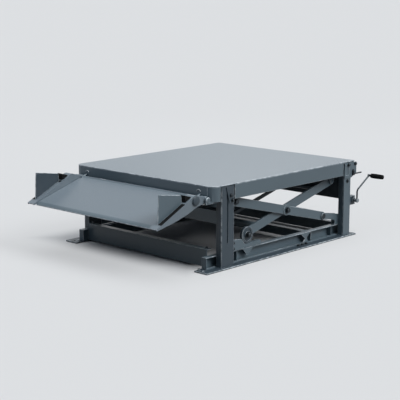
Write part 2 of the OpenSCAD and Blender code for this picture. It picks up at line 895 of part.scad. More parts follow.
// A tube that joins the two arms of a pair
module cross_tube(half) {
  difference() {
    rod_x(-half, half, tie_r);
    rod_x(-half - cut, half + cut, tie_r - tie_wall);
  }
}

module outer_cross_tube() {
  color(slate) at(low_pin_y, low_z) rotate([-arm_angle, 0, 0])
    translate([0, -tie_from_end, 0]) cross_tube(outer_arm_in);
}

// An arm from the deck's rear bracket down to the front wheel, with its stub axle
module inner_arm() {
  at(high_pin_y, high_z) rotate([arm_angle, 0, 0]) {
    along_x(inner_arm_in, inner_arm_out) arm_outline([0, upper_half]);
    translate([0, -arm_l, 0]) {
      rod_x(inner_arm_out, wheel_out + run_fit * 10, axle_r);
      rod_x(inner_arm_out, wheel_in - run_fit * 10, collar_r);
      rod_x(wheel_out + run_fit * 10, wheel_out + run_fit * 10 + collar_t, collar_r);
    }
  }
}

module right_inner_arm() {
  color(slate) inner_arm();
}

module left_inner_arm() {
  color(slate) on_left() inner_arm();
}

module inner_cross_tube() {
  color(slate) at(high_pin_y, high_z) rotate([arm_angle, 0, 0])
    translate([0, tie_from_end - arm_l, 0]) cross_tube(inner_arm_in);
}

// The inner arms' upper cross tube, with two bars from it to the lower tube
module inner_stays() {
  low = tie_from_end - arm_l;
  color(dark_slate) at(high_pin_y, high_z) rotate([arm_angle, 0, 0]) {
    translate([0, -tie_from_end, 0]) cross_tube(inner_arm_in);
    difference() {
      for (x = [-stay_x, stay_x])
        block([x - stay_t / 2, low, -stay_h / 2], [x + stay_t / 2, -tie_from_end, stay_h / 2]);
      for (y = [low, -tie_from_end])
        translate([0, y, 0]) rod_x(-inner_arm_in, inner_arm_in, y == low ? tie_r : tie_r - tie_wall / 2);
    }
  }
}

// A steel wheel turned about X, with a rim, a recessed web and a hub
module wheel(r, x0, x1) {
  hub_r = axle_r + eye_wall;
  rim = r * 0.22;
  recess = (x1 - x0) * 0.25;
  chamfer = 3;
  translate([x0, 0, 0]) rotate([0, 90, 0]) rotate_extrude() polygon([
    [axle_r + run_fit, 0], [hub_r, 0], [hub_r + chamfer, recess], [r - rim - chamfer, recess], [r - rim, 0],
    [r - chamfer, 0], [r, chamfer], [r, x1 - x0 - chamfer], [r - chamfer, x1 - x0],
    [r - rim, x1 - x0], [r - rim - chamfer, x1 - x0 - recess], [hub_r + chamfer, x1 - x0 - recess],
    [hub_r, x1 - x0], [axle_r + run_fit, x1 - x0]
  ]);
}

module lower_wheel() {
  at(wheel_y, low_z) wheel(wheel_r, wheel_in, wheel_out);
}

module right_wheel() {
  color(dark_slate) lower_wheel();
}

module left_wheel() {
  color(dark_slate) on_left() lower_wheel();
}

module upper_roller() {
  x0 = roller_in;
  at(centre_y - upper_half * cos(arm_angle), high_z) difference() {
    rod_x(x0, roller_out, roller_r);
    rod_x(x0 - cut, roller_out + cut, axle_r + run_fit);
  }
}

module right_roller() {
  color(bare_steel) upper_roller();
}

module left_roller() {
  color(bare_steel) on_left() upper_roller();
}

// The shaft, its boss and the bent rod that carries the grip
module crank_handle() {
  color(bare_steel) at(crank_y, crank_z) {
    rod_x(gearbox_in + 2 * post_wall, crank_in, crank_shaft_r);
    rod_x(crank_in, crank_in + crank_boss_w, crank_shaft_r + crank_boss_wall);
    translate([crank_rod_x, 0, 0]) {
      cylinder(h = crank_rise, r = crank_rod_r);
      translate([0, crank_bend_r, crank_rise]) rotate([90, 0, -90]) rotate_extrude(angle = crank_bend)
        translate([crank_bend_r, 0]) circle(crank_rod_r);
      translate([0, crank_pin.x, crank_pin.y]) rotate([180 - crank_bend, 0, 0])
        cylinder(h = crank_run, r = crank_rod_r);
    }
    translate([0, crank_pin.x, crank_pin.y]) {
      rod_x(crank_in, crank_in + crank_boss_w, crank_rod_r + crank_boss_wall / 2);
      rod_x(crank_in, crank_in + crank_boss_w * 1.5, crank_rod_r);
    }
  }
}

// The black grip on the end of the rod
module crank_grip() {
  end_r = 6;
  start = crank_in + crank_boss_w * 1.5;
  color(black_rubber) at(crank_y + crank_pin.x, crank_z + crank_pin.y) translate([start, 0, 0])
    rotate([0, 90, 0]) rotate_extrude() polygon([
      [0, 0], [grip_r - end_r, 0], [grip_r - 2, end_r], [grip_r, grip_l * 0.4], [grip_r - 2, grip_l - end_r],
      [grip_r - end_r, grip_l], [0, grip_l]
    ]);
}

right_sole_plate();
left_sole_plate();
right_base_rail();
left_base_rail();
front_cross_beam();
middle_cross_beam();
rear_cross_beam();
right_front_post();
left_front_post();
right_rear_post();
left_rear_post();
front_portal_beam();
rear_portal_beam();
front_guide_plates();
rear_latch_plates();
latch_levers();
wheel_tracks();
arm_base_brackets();
lower_arm_pins();
crank_gearbox();
deck_plate();
front_skirt();
right_side_skirt();
left_side_skirt();
rear_skirt();
right_stringer();
left_stringer();
deck_cross_ribs();
arm_deck_brackets();
upper_arm_pins();
lip_hinge_pin();
lip_plate();
right_lip_arm();
left_lip_arm();
right_cheek();
left_cheek();
lip_buffers();
right_outer_arm();
left_outer_arm();
outer_cross_tube();
right_inner_arm();
left_inner_arm();
inner_cross_tube();
inner_stays();
right_wheel();
left_wheel();
right_roller();
left_roller();
crank_handle();
crank_grip();
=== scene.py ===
"""Looks of a dock leveler: paint, bolts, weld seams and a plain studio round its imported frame."""

import json
import math

import bmesh
import bpy
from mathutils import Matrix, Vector


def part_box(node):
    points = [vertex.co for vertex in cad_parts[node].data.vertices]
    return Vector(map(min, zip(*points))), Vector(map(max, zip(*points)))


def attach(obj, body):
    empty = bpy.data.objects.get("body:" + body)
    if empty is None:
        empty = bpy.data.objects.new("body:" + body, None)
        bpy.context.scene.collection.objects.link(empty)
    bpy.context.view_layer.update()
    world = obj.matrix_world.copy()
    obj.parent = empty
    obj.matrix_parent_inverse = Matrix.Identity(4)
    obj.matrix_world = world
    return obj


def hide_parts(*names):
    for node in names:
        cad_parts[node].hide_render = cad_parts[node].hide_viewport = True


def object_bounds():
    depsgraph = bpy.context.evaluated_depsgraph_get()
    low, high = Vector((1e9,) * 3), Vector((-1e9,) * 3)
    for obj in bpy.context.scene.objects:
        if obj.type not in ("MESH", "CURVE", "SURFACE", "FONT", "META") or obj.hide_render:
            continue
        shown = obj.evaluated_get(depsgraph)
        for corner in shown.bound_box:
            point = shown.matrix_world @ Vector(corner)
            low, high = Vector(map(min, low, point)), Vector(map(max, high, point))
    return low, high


bl_info = {
    "name": "Dock leveler looks",
    "version": (1, 0, 0),
    "blender": (4, 5, 0),
    "location": "View3D > Sidebar > Leveler",
    "description": "Dresses a dock leveler in paint, bolts and weld seams, and sets a plain studio round it",
    "category": "Object",
}

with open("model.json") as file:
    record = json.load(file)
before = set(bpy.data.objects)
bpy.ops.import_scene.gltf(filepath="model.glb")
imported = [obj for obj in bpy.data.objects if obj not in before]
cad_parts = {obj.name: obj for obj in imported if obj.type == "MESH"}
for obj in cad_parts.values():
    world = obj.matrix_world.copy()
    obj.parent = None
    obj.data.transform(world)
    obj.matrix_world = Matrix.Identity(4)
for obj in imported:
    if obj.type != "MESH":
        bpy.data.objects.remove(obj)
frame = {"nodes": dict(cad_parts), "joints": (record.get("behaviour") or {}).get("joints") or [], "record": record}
CAD_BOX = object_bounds()
MM = 0.001
BODY_OF = {node: body for body, nodes in frame["record"]["behaviour"]["bodies"].items() for node in nodes}
SLOT_OF = {part["node"]: part["material_slot"] for part in frame["record"]["subparts"]}
JOINT_AT = {joint["name"]: Vector(joint["pos_m"]) for joint in frame["joints"]}
FINISH_OF = {
    "slate_paint": "slate_powder_coat",
    "deck_paint": "deck_powder_coat",
    "dark_paint": "dark_powder_coat",
    "bare_steel": "turned_steel",
    "black_rubber": "moulded_rubber",
}
OUT, REAR, UP = Vector((1, 0, 0)), Vector((0, 1, 0)), Vector((0, 0, 1))

# Millimetres on the right half that the frame doesn't give
ARM_BOSS_Y, ARM_BOSS_Z = -1135.6, 643.8  # middle of the boss on the lip's arm
STRAP_HOLES = ((776.6, -1217.3, 646.9), (776.6, -1260.2, 626.0))  # middles of the holes in its strap
STRAP_FACE = 4  # from those middles to the strap's face
EYE_X, EYE_Z = 725, 688  # middle of the foot of the eye on the front skirt
PIVOT_BOSS = 6  # height of the boss on an outer arm's face
PIN_ROOM = 0.3  # taken off the middle pins' radius
BRIGHT_HUB = 32  # radius round the crank's axis in which its steel stays bright


def linear(hex_colour):
    """An sRGB hex colour as linear red, green and blue."""
    channels = [int(hex_colour[i:i + 2], 16) / 255 for i in (1, 3, 5)]
    return [c / 12.92 if c <= 0.04045 else ((c + 0.055) / 1.055) ** 2.4 for c in channels]


def colour_setting(name, hex_colour, description):
    """A colour that a user can change, given as sRGB hex."""
    return bpy.props.FloatVectorProperty(
        name=name, description=description, subtype="COLOR", size=3, min=0, max=1,
        default=linear(hex_colour))


def length_setting(name, millimetres, description):
    """A length that a user can change, given in millimetres."""
    return bpy.props.FloatProperty(
        name=name, description=description, subtype="DISTANCE", unit="LENGTH", min=0,
        default=millimetres * MM)


def level_setting(name, level, description):
    """A light's level that a user can change."""
    return bpy.props.FloatProperty(name=name, description=description, default=level)


class LevelerFinish(bpy.types.PropertyGroup):
    """Colours of the leveler's finishes"""

    slate: colour_setting("Slate paint", "#57666f", "Powder coat on the frame, the arms and the skirts")
    # The deck paint is the slate paint made lighter: painted light on the upward-facing deck and lip, as if lit
    # more brightly from above
    deck: colour_setting("Deck paint", "#6a767f", "Powder coat on the deck and the lip, dulled by traffic")
    # Paler paint for the rounded edges: partly rubbed wear, partly a painted highlight along them
    worn_and_highlight: colour_setting("Rubbed paint", "#b4bdc3", "Powder coat where edges are rubbed")
    # On the front posts and guide plates this dark paint is painted shade
    shade: colour_setting("Dark paint", "#36424b",
                          "Powder coat on the wheels, the front posts, the sole plates and the gearbox")
    steel: colour_setting("Bare steel", "#8d9499", "Turned pins, rollers and the crank rod")
    bolt: colour_setting("Blackened bolts", "#3b4044", "Hex bolts, nuts and washers")
    # On the lip arms' straps beside the cheeks this black rubber is a painted shadow of the cheeks, not a seal
    rubber: colour_setting("Black rubber", "#121314", "Crank grip, lip buffers and seals")


class LevelerSizes(bpy.types.PropertyGroup):
    """Sizes of the details that the finishes add"""

    edge: length_setting("Sheet edge", 3.6, "Rounding of the edges of sheets and bars")
    sole_edge: length_setting("Sole plate edge", 5, "Rounding of the edges of the sole plates")
    deck_edge: length_setting("Deck edge", 6, "Rounding of the deck's upper edge")
    bolt_flats: length_setting("Bolt head", 24, "Width across the flats of a bolt head")
    nut_flats: length_setting("Pivot nut", 41, "Width across the flats of a pivot's nut")
    middle_pin: length_setting("Middle pin", 18, "Radius of the scissor's middle pins")
    cap: length_setting("Lip arm cap", 40, "Radius of the caps on the lip's arms")
    cap_depth: length_setting("Lip arm cap depth", 7, "Depth of the caps on the lip's arms")
    weld: length_setting("Weld seam", 4, "Radius of a weld seam")
    eye_width: length_setting("Eye", 46, "Width of the eyes on the front skirt")
    eye_rod: length_setting("Eye rod", 4.5, "Radius of the eyes' rod")


class LevelerStage(bpy.types.PropertyGroup):
    """Floor, background and light"""

    floor: colour_setting("Floor", "#c0c2c4", "Plain pale floor")
    skylight: colour_setting("Fill light's colour", "#d4e0f0", "Cool even light all round")
    background: colour_setting("Background", "#e0e2e4", "Plain pale background")
    overhead: level_setting("Overhead light", 2.15, "Soft light from above")
    rear: level_setting("Rear softbox", 40, "Glow on the deck, from behind")
    side: level_setting("Side light", 2.25, "Soft light from the right")
    front: level_setting("Front light", 0.5, "Weak light from the front")
    ease: bpy.props.FloatProperty(name="Shadow ease", description="How far the floor's shadow is lightened",
                                  subtype="FACTOR", min=0, max=1, default=0.66)
    fill: level_setting("Fill light", 0.12, "Even light from all round")


def add(tree, kind, inputs=None, **settings):
    """Adds a node with its settings, and fills or links its inputs."""
    node = tree.nodes.new(kind)
    for name, value in settings.items():
        setattr(node, name, value)
    for key, value in (inputs or {}).items():
        for one in value if isinstance(value, list) else [value]:
            if isinstance(one, bpy.types.NodeSocket):
                tree.links.new(one, node.inputs[key])
            else:
                node.inputs[key].default_value = one
    return node


def per_metre(millimetres):
    """A noise texture's scale for marks of about that size."""
    return 1 / (millimetres * MM)


def rgba(colour):
    """A colour with full alpha."""
    return (*colour, 1)


def new_material(name):
    """A material, its tree and its shader."""
    material = bpy.data.materials.new(name)
    material.use_nodes = True
    return material, material.node_tree, material.node_tree.nodes["Principled BSDF"]


def powder_coat(name, colour, worn_and_highlight, roughness, drift, grain):
    """Satin polyester powder coat baked on blasted steel: even, a little cloudy, and paler on the rounded edges,
    partly as rubbed wear and partly as a painted highlight.
    The orange peel of the real coat, about 2 mm across, is drawn at 9 mm so that it shows."""
    material, tree, shader = new_material(name)
    place = add(tree, "ShaderNodeTexCoord").outputs["Object"]
    cloud = add(tree, "ShaderNodeTexNoise", {"Vector": place, "Scale": per_metre(grain), "Detail": 1.0})
    tone = add(tree, "ShaderNodeMapRange", {"Value": cloud.outputs["Fac"], "From Min": 0.3, "From Max": 0.7,
                                            "To Min": 1 - drift, "To Max": 1 + drift})
    coat = add(tree, "ShaderNodeHueSaturation", {"Color": rgba(colour), "Value": tone.outputs["Result"]})
    rub = add(tree, "ShaderNodeTexNoise", {"Vector": place, "Scale": per_metre(45), "Detail": 4.0})
    patches = add(tree, "ShaderNodeMapRange", {
        "Value": rub.outputs["Fac"], "From Min": 0.4, "From Max": 0.62, "To Min": 0.25, "To Max": 1.0})
    # The rounded strips' mark, broken up by the patches, mixes in the paler paint: rubbed wear and a painted
    # highlight on the edges
    edge = add(tree, "ShaderNodeAttribute", attribute_name="rubbed_edge").outputs["Fac"]
    rubbed = add(tree, "ShaderNodeMath", {0: edge, 1: patches.outputs["Result"]}, operation="MULTIPLY")
    paint = add(tree, "ShaderNodeMix", {0: rubbed.outputs[0], 6: coat.outputs["Color"], 7: rgba(worn_and_highlight)},
                data_type="RGBA")
    peel = add(tree, "ShaderNodeTexNoise", {"Vector": place, "Scale": per_metre(9), "Detail": 1.0})
    bump = add(tree, "ShaderNodeBump", {
        "Height": peel.outputs["Fac"], "Strength": drift, "Distance": 0.5 * MM})
    sheen = add(tree, "ShaderNodeMapRange", {"Value": cloud.outputs["Fac"], "From Min": 0.3, "From Max": 0.7,
                                             "To Min": roughness - drift, "To Max": roughness + drift})
    tree.links.new(paint.outputs[2], shader.inputs["Base Color"])
    tree.links.new(sheen.outputs["Result"], shader.inputs["Roughness"])
    tree.links.new(bump.outputs["Normal"], shader.inputs["Normal"])
    shader.inputs["Specular IOR Level"].default_value = 0.4
    return material


def turned_steel(name, colour, roughness):
    """Bare steel turned on a lathe and lightly oiled: a soft metal gloss with fine uneven tool marks."""
    material, tree, shader = new_material(name)
    place = add(tree, "ShaderNodeTexCoord").outputs["Object"]
    marks = add(tree, "ShaderNodeMapping", {"Vector": place, "Scale": (6, 1, 1)})
    grain = add(tree, "ShaderNodeTexNoise", {
        "Vector": marks.outputs[0], "Scale": per_metre(12), "Detail": 4.0})
    gloss = add(tree, "ShaderNodeMapRange", {"Value": grain.outputs["Fac"], "From Min": 0.3, "From Max": 0.7,
                                             "To Min": roughness - 0.08, "To Max": roughness + 0.08})
    stain = add(tree, "ShaderNodeTexNoise", {"Vector": place, "Scale": per_metre(70), "Detail": 3.0})
    tone = add(tree, "ShaderNodeMapRange", {"Value": stain.outputs["Fac"], "From Min": 0.3, "From Max": 0.7,
                                            "To Min": 0.85, "To Max": 1.1})
    metal = add(tree, "ShaderNodeHueSaturation", {"Color": rgba(colour), "Value": tone.outputs["Result"]})
    bump = add(tree, "ShaderNodeBump", {
        "Height": grain.outputs["Fac"], "Strength": 0.06, "Distance": 0.3 * MM})
    tree.links.new(metal.outputs["Color"], shader.inputs["Base Color"])
    tree.links.new(gloss.outputs["Result"], shader.inputs["Roughness"])
    tree.links.new(bump.outputs["Normal"], shader.inputs["Normal"])
    shader.inputs["Metallic"].default_value = 1.0
    return material


def moulded_rubber(name, colour):
    """Black moulded rubber: dull, finely grained, a little dusty in patches."""
    material, tree, shader = new_material(name)
    place = add(tree, "ShaderNodeTexCoord").outputs["Object"]
    grain = add(tree, "ShaderNodeTexNoise", {"Vector": place, "Scale": per_metre(2.5), "Detail": 2.0})
    dust = add(tree, "ShaderNodeTexNoise", {"Vector": place, "Scale": per_metre(40), "Detail": 3.0})
    tone = add(tree, "ShaderNodeMapRange", {"Value": dust.outputs["Fac"], "From Min": 0.3, "From Max": 0.7,
                                            "To Min": 0.8, "To Max": 1.3})
    skin = add(tree, "ShaderNodeHueSaturation", {"Color": rgba(colour), "Value": tone.outputs["Result"]})
    bump = add(tree, "ShaderNodeBump", {
        "Height": grain.outputs["Fac"], "Strength": 0.15, "Distance": 0.3 * MM})
    tree.links.new(skin.outputs["Color"], shader.inputs["Base Color"])
    tree.links.new(bump.outputs["Normal"], shader.inputs["Normal"])
    shader.inputs["Roughness"].default_value = 0.8
    shader.inputs["Specular IOR Level"].default_value = 0.1
    return material


def finish(name):
    """The finish of that name, made at its first use."""
    colours = bpy.context.scene.leveler_finish
    makers = {
        "slate_powder_coat": lambda n: powder_coat(n, colours.slate, colours.worn_and_highlight, 0.34, 0.04, 420),
        "deck_powder_coat": lambda n: powder_coat(n, colours.deck, colours.worn_and_highlight, 0.30, 0.03, 4),
        "dark_powder_coat": lambda n: powder_coat(n, colours.shade, colours.worn_and_highlight, 0.42, 0.04, 420),
        "turned_steel": lambda n: turned_steel(n, colours.steel, 0.34),
        "blackened_steel": lambda n: turned_steel(n, colours.bolt, 0.42),
        "moulded_rubber": lambda n: moulded_rubber(n, colours.rubber),
    }
    return bpy.data.materials.get(name) or makers[name](name)


def piece(name, mesh, body, slot, *materials):
    """A finished mesh as a piece that rides on a body."""
    made = bpy.data.objects.new(name, mesh)
    bpy.context.scene.collection.objects.link(made)
    for material in materials:
        mesh.materials.append(material)
    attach(made, body)
    return made


def smooth(mesh, angle=40):
    """Shades a mesh smooth, apart from edges sharper than an angle in degrees."""
    mesh.shade_smooth()
    mesh.set_sharp_from_angle(angle=math.radians(angle))


def sharp_edges(shape):
    """Outer edges that no rounded strip touches yet."""
    mark = shape.faces.layers.float["rubbed_edge"]
    return [edge for edge in shape.edges
            if edge.is_manifold and edge.is_convex and edge.calc_face_angle(0) > math.radians(40)
            and not any(face[mark] for end in edge.verts for face in end.link_faces)]


def at_ends(edge):
    """The other edges at an edge's two ends, each with whether it carries the edge's line on."""
    way = (edge.verts[1].co - edge.verts[0].co).normalized()
    for end in edge.verts:
        for other in end.link_edges:
            if other is not edge:
                turn = (other.verts[1].co - other.verts[0].co).normalized()
                yield other, abs(turn.dot(way)) > 0.9


def roomy_edges(shape, radius):
    """Outer edges, in whole lines, beside which a strip of that radius fits all along."""
    picked = {edge for edge in sharp_edges(shape)
              if all(runs_on or other.calc_length() > 2 * radius for other, runs_on in at_ends(edge))}
    broken = True
    while broken:
        broken = {edge for edge in picked
                  if any(runs_on and other not in picked for other, runs_on in at_ends(edge))}
        picked -= broken
    return [edge for edge in shape.edges if edge in picked]


def round_edges(shape, edges, radius, segments, clamp=True):
    """Rounds edges and marks the rounded strips, which get the paler paint: rubbed wear and a painted highlight.
    """
    mark = shape.faces.layers.float["rubbed_edge"]
    made = bmesh.ops.bevel(shape, geom=edges, offset=radius, offset_type="OFFSET", segments=segments,
                           profile=0.5, affect="EDGES", clamp_overlap=clamp)
    for face in made["faces"]:
        face[mark] = 1.0


def dress(node, material, radius, top_radius=0):
    """Replaces a CAD node by a copy with rounded outer edges. A top radius rounds the upper rim alone."""
    shape = bmesh.new()
    shape.from_mesh(frame["nodes"][node].data)
    bmesh.ops.remove_doubles(shape, verts=shape.verts, dist=0.01 * MM)
    bmesh.ops.dissolve_limit(shape, angle_limit=math.radians(0.5), verts=shape.verts, edges=shape.edges)
    shape.faces.layers.float.new("rubbed_edge")
    if top_radius:
        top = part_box(node)[1].z
        rim = [edge for edge in sharp_edges(shape) if all(abs(end.co.z - top) < MM for end in edge.verts)]
        round_edges(shape, rim, top_radius, 4)
    else:
        round_edges(shape, roomy_edges(shape, radius), radius, 2, clamp=False)
        round_edges(shape, sharp_edges(shape), radius, 2)
    bmesh.ops.dissolve_degenerate(shape, dist=0.01 * MM, edges=shape.edges)
    mesh = bpy.data.meshes.new(node)
    shape.to_mesh(mesh)
    shape.free()
    smooth(mesh)
    made = piece(node + "_finished", mesh, BODY_OF[node], SLOT_OF[node], finish(material))
    weigh = made.modifiers.new("Even faces", "WEIGHTED_NORMAL")
    weigh.keep_sharp = True
    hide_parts(node)
    return made


def dress_body(body, radius, own=()):
    """Dresses a body's nodes in the finishes of their slots, apart from those dressed on their own."""
    for node in frame["record"]["behaviour"]["bodies"][body]:
        if node not in own:
            dress(node, FINISH_OF[SLOT_OF[node]], radius)


def refinish(made, material, chosen):
    """Gives some of a piece's faces another finish: those for which chosen(centre, normal) holds."""
    mesh = made.data
    mesh.materials.append(finish(material))
    for face in mesh.polygons:
        if chosen(face.center, face.normal):
            face.material_index = len(mesh.materials) - 1


def split(made, place, normal):
    """Cuts a piece's faces along a plane, so that its two sides can have finishes of their own."""
    shape = bmesh.new()
    shape.from_mesh(made.data)
    bmesh.ops.bisect_plane(shape, geom=shape.verts[:] + shape.edges[:] + shape.faces[:], dist=0.1 * MM,
                           plane_co=place, plane_no=normal)
    shape.to_mesh(made.data)
    shape.free()


def slim_pin(made, axis, radius, room):
    """Takes a little off a pin's faceted side, so that its corners clear the bore as it turns."""
    for point in made.data.vertices:
        out = (point.co - axis) * Vector((0, 1, 1))
        if abs(out.length - radius) < 0.05 * MM:
            point.co -= out.normalized() * room


def both_sides(name):
    """The names of a piece's right and left one."""
    return ["right_" + name, "left_" + name]


def lathe_along_x(name, profile, centre, turns=48):
    """A turned mesh: the profile's distances along X and radii, swept about the X axis through centre."""
    shape = bmesh.new()
    rings = []
    for along, radius in profile:
        ring = []
        for step in range(turns):
            angle = 2 * math.pi * step / turns
            offset = Vector((along, radius * math.cos(angle), radius * math.sin(angle)))
            ring.append(shape.verts.new(centre + offset))
        rings.append(ring)
    for low, high in zip(rings, rings[1:]):
        for step in range(turns):
            after = (step + 1) % turns
            shape.faces.new((low[step], low[after], high[after], high[step]))
    shape.faces.new(rings[0])
    shape.faces.new(rings[-1])
    bmesh.ops.recalc_face_normals(shape, faces=shape.faces)
    mesh = bpy.data.meshes.new(name)
    shape.to_mesh(mesh)
    shape.free()
    smooth(mesh, 50)
    return mesh


def node_tree(name, sizes):
    """A geometry node tree with named length inputs and a material input, and its two end nodes."""
    tree = bpy.data.node_groups.new(name, "GeometryNodeTree")
    tree.interface.new_socket("Places", in_out="INPUT", socket_type="NodeSocketGeometry")
    for size in sizes:
        tree.interface.new_socket(size, in_out="INPUT", socket_type="NodeSocketFloat")
    tree.interface.new_socket("Material", in_out="INPUT", socket_type="NodeSocketMaterial")
    tree.interface.new_socket("Made", in_out="OUTPUT", socket_type="NodeSocketGeometry")
    return tree, add(tree, "NodeGroupInput").outputs, add(tree, "NodeGroupOutput")


def hex_bolt_tree():
    """Sets a washer and a chamfered hex head, drawn one metre across flats, on each point along its axis."""
    tree, given, result = node_tree("Hex bolts", ["Flats"])
    washer_h, head_h, chamfer_h = 0.14, 0.44, 0.08
    washer = add(tree, "GeometryNodeMeshCylinder", {"Vertices": 24, "Radius": 0.72, "Depth": washer_h})
    head = add(tree, "GeometryNodeMeshCylinder", {
        "Vertices": 6, "Radius": 1 / math.sqrt(3), "Depth": head_h})
    chamfer = add(tree, "GeometryNodeMeshCone", {
        "Vertices": 24, "Radius Top": 0.38, "Radius Bottom": 0.49, "Depth": chamfer_h})
    stack = []
    heights = (washer_h / 2, washer_h + head_h / 2, washer_h + head_h)
    for shape, height in zip((washer, head, chamfer), heights):
        moved = add(tree, "GeometryNodeTransform", {
            "Geometry": shape.outputs["Mesh"], "Translation": (0, 0, height)})
        stack.append(moved.outputs[0])
    bolt = add(tree, "GeometryNodeJoinGeometry", {0: stack})
    axis = add(tree, "GeometryNodeInputNamedAttribute", {"Name": "axis"}, data_type="FLOAT_VECTOR")
    turn = add(tree, "FunctionNodeAlignRotationToVector", {"Vector": axis.outputs["Attribute"]}, axis="Z")
    placed = add(tree, "GeometryNodeInstanceOnPoints", {
        "Points": given["Places"], "Instance": bolt.outputs[0], "Rotation": turn.outputs[0],
        "Scale": given["Flats"]})
    real = add(tree, "GeometryNodeRealizeInstances", {0: placed.outputs[0]})
    painted = add(tree, "GeometryNodeSetMaterial", {
        "Geometry": real.outputs[0], "Material": given["Material"]})
    tree.links.new(painted.outputs[0], result.inputs[0])
    return tree


def bead_tree():
    """Sweeps a round bead along each line, rippled by a share of its radius."""
    tree, given, result = node_tree("Beads", ["Radius", "Ripple"])
    lines = add(tree, "GeometryNodeMeshToCurve", {"Mesh": given["Places"]})
    steps = add(tree, "GeometryNodeResampleCurve", {"Curve": lines.outputs[0], "Length": 9 * MM},
                mode="LENGTH")
    ring = add(tree, "GeometryNodeCurvePrimitiveCircle", {"Resolution": 6, "Radius": given["Radius"]})
    bead = add(tree, "GeometryNodeCurveToMesh", {
        "Curve": steps.outputs[0], "Profile Curve": ring.outputs[0], "Fill Caps": True})
    ripple = add(tree, "ShaderNodeTexNoise", {"Scale": per_metre(14), "Detail": 1.0})
    height = add(tree, "ShaderNodeMapRange", {"Value": ripple.outputs["Fac"], "To Min": -1.0, "To Max": 1.0})
    deep = add(tree, "ShaderNodeMath", {0: given["Ripple"], 1: given["Radius"]}, operation="MULTIPLY")
    lift = add(tree, "ShaderNodeMath", {0: height.outputs["Result"], 1: deep.outputs[0]},
               operation="MULTIPLY")
    normal = add(tree, "GeometryNodeInputNormal")
    offset = add(tree, "ShaderNodeVectorMath", {0: normal.outputs[0], "Scale": lift.outputs[0]},
                 operation="SCALE")
    rough = add(tree, "GeometryNodeSetPosition", {"Geometry": bead.outputs[0], "Offset": offset.outputs[0]})
    real = add(tree, "GeometryNodeRealizeInstances", {0: rough.outputs[0]})
    painted = add(tree, "GeometryNodeSetMaterial", {
        "Geometry": real.outputs[0], "Material": given["Material"]})
    tree.links.new(painted.outputs[0], result.inputs[0])
    return tree


def grow(name, tree, places, sizes, material, body, slot):
    """Runs a node tree on a mesh of places and keeps the result as one plain piece."""
    source = bpy.data.objects.new(name + "_places", places)
    bpy.context.scene.collection.objects.link(source)
    modifier = source.modifiers.new(name, "NODES")
    modifier.node_group = tree
    sockets = {item.name: item.identifier for item in tree.interface.items_tree if item.in_out == "INPUT"}
    for key, value in {**sizes, "Material": finish(material)}.items():
        modifier[sockets[key]] = value
    scene = bpy.context.evaluated_depsgraph_get()
    mesh = bpy.data.meshes.new_from_object(source.evaluated_get(scene), depsgraph=scene)
    mesh.name = name
    bpy.data.objects.remove(source)
    return piece(name, mesh, body, slot)


def point_mesh(name, bolts):
    """A mesh of loose points, each with the axis of its bolt."""
    mesh = bpy.data.meshes.new(name)
    mesh.from_pydata([place for place, axis in bolts], [], [])
    axes = mesh.attributes.new("axis", "FLOAT_VECTOR", "POINT")
    axes.data.foreach_set("vector", [value for place, axis in bolts for value in axis])
    return mesh


def line_mesh(name, lines):
    """A mesh of open lines, each a list of points."""
    points = [point for line in lines for point in line]
    edges = []
    start = 0
    for line in lines:
        edges += [(start + i, start + i + 1) for i in range(len(line) - 1)]
        start += len(line)
    mesh = bpy.data.meshes.new(name)
    mesh.from_pydata(points, edges, [])
    return mesh


def mirrored(bolts):
    """Bolts of the right side together with their mirror images on the left."""
    flip = Vector((-1, 1, 1))
    return [(place * side_flip, axis * side_flip) for place, axis in bolts
            for side_flip in (Vector((1, 1, 1)), flip)]


def base_bolts():
    """Bolts of the right half of the base, placed in millimetres from the edges of its pieces."""
    guide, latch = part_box("front_guide_plates")[1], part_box("rear_latch_plates")[1]
    beam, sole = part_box("front_cross_beam")[1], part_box("right_sole_plate")[1]
    track_low, track_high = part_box("wheel_tracks")
    post_low, post_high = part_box("right_rear_post")
    guide_spots, latch_spots = ((46, 82), (27, 128)), ((129, 18), (20, 18), (55, 87))
    facing_out = [Vector((plate.x, plate.y - back * MM, plate.z - drop * MM))
                  for plate, spots in ((guide, guide_spots), (latch, latch_spots)) for back, drop in spots]
    facing_out.append(Vector((post_high.x + 8 * MM, (post_low.y + post_high.y) / 2, latch.z - 178 * MM)))
    facing_out += [Vector((track_high.x, track_low.y + 50 * MM, track_low.z + rise * MM))
                   for rise in (22, 78)]
    facing_up = [Vector((beam.x - 30 * MM, beam.y - 26 * MM, beam.z))]
    facing_up += [Vector((sole.x - 68 * MM, along * MM, sole.z)) for along in (250, 310, 370)]
    return [(place, OUT) for place in facing_out] + [(place, UP) for place in facing_up]


def strap_bolts():
    """Bolts in the two holes of the lip's right arm, square to its sloping strap."""
    upper, lower = [Vector(hole) * MM for hole in STRAP_HOLES]
    slope = (upper - lower).normalized()
    square = OUT.cross(slope)
    return [(place + square * STRAP_FACE * MM, square) for place in (upper, lower)]


class LEVELER_OT_base_frame(bpy.types.Operator):
    """Paint the base frame, the posts and what is bolted to them"""

    bl_idname = "leveler.base_frame"
    bl_label = "Base frame"

    def execute(self, context):
        edge = context.scene.leveler_sizes.edge
        front, soles = both_sides("front_post") + ["front_guide_plates"], both_sides("sole_plate")
        black = ["lower_arm_pins", "latch_levers"]
        beams = ["front_cross_beam", "front_portal_beam"]
        dress_body("base", edge, own=front + soles + black + beams)
        for node in beams:
            dress(node, "slate_powder_coat", edge)
        for node in black:
            dress(node, "blackened_steel", edge)
        # The front posts and guide plates get the dark paint: painted shade, as they stand in shade under the
        # deck's front edge
        for node in front:
            dress(node, "dark_powder_coat", edge)
        for node in soles:
            dress(node, "dark_powder_coat", context.scene.leveler_sizes.sole_edge)
        return {"FINISHED"}


